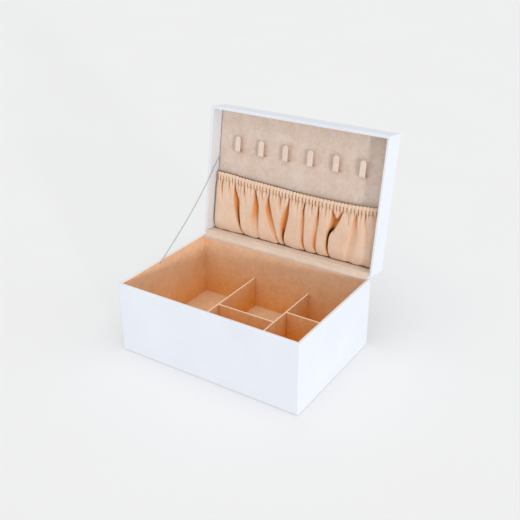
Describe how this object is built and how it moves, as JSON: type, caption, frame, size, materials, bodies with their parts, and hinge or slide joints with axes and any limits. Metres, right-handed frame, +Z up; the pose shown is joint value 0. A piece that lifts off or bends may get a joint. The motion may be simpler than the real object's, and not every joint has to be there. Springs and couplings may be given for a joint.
{
  "type": "jewellery case",
  "caption": "Rectangular leatherette jewellery case with a hinged lid, suede dividers, necklace hooks and a gathered pocket in the lid, and a stay cord.",
  "frame": {"origin": "centre of the flat underside that the case stands on", "axes": "+Z up, -Y towards the front (the side away from the hinges), +X to the right seen from the front"},
  "size_m": [0.3, 0.2756, 0.3152],
  "materials": {
    "leatherette": "white coated leatherette, satin, fine even grain",
    "board": "pressed wood-fibre board, hidden by its covers",
    "suede": "beige microsuede, matte, mottled nap",
    "pocket_cloth": "peach microsuede cloth, soft, shirred",
    "hinge_cloth": "pale beige microsuede cloth",
    "elastic": "woven elastic inside its casing",
    "cord": "off-white twisted cord",
    "foam": "white foam sheet, hidden",
    "hinge_metal": "satin nickel-plated steel",
    "underside_paper": "white embossed paper sheet"
  },
  "bodies": {
    "base": {"base_bottom_board": "board", "base_front_wall": "board", "base_hinge_screws": "hinge_metal", "base_left_wall": "board", "base_rear_wall": "board", "base_right_wall": "board", "base_underside_sheet": "underside_paper", "base_wrap": "leatherette", "centre_cross_divider": "suede", "floor_pad": "suede", "front_lining": "suede", "hinge_cloth": "hinge_cloth", "hinge_left_base_leaf": "hinge_metal", "hinge_left_pin": "hinge_metal", "hinge_right_base_leaf": "hinge_metal", "hinge_right_pin": "hinge_metal", "left_divider": "suede", "left_lining": "suede", "rear_lining": "suede", "right_cross_divider": "suede", "right_divider": "suede", "right_lining": "suede", "stay_cord": "cord"},
    "lid": {"hinge_left_lid_leaf": "hinge_metal", "hinge_right_lid_leaf": "hinge_metal", "hook_1": "suede", "hook_2": "suede", "hook_3": "suede", "hook_4": "suede", "hook_5": "suede", "hook_6": "suede", "lid_front_wall": "board", "lid_hinge_screws": "hinge_metal", "lid_left_wall": "board", "lid_panel": "suede", "lid_rear_wall": "board", "lid_right_wall": "board", "lid_spacer": "foam", "lid_top_board": "board", "lid_wrap": "leatherette", "pocket_elastic": "elastic", "pocket_fabric": "pocket_cloth"}
  },
  "joints": [
    {"name": "lid_hinge", "type": "hinge", "parent": "base", "child": "lid", "pos_m": [0, 0.1041, 0.11115], "axis": [1, 0, 0], "range_deg": [0, 99], "deforming": ["stay_cord", "hinge_cloth"]}
  ]
}
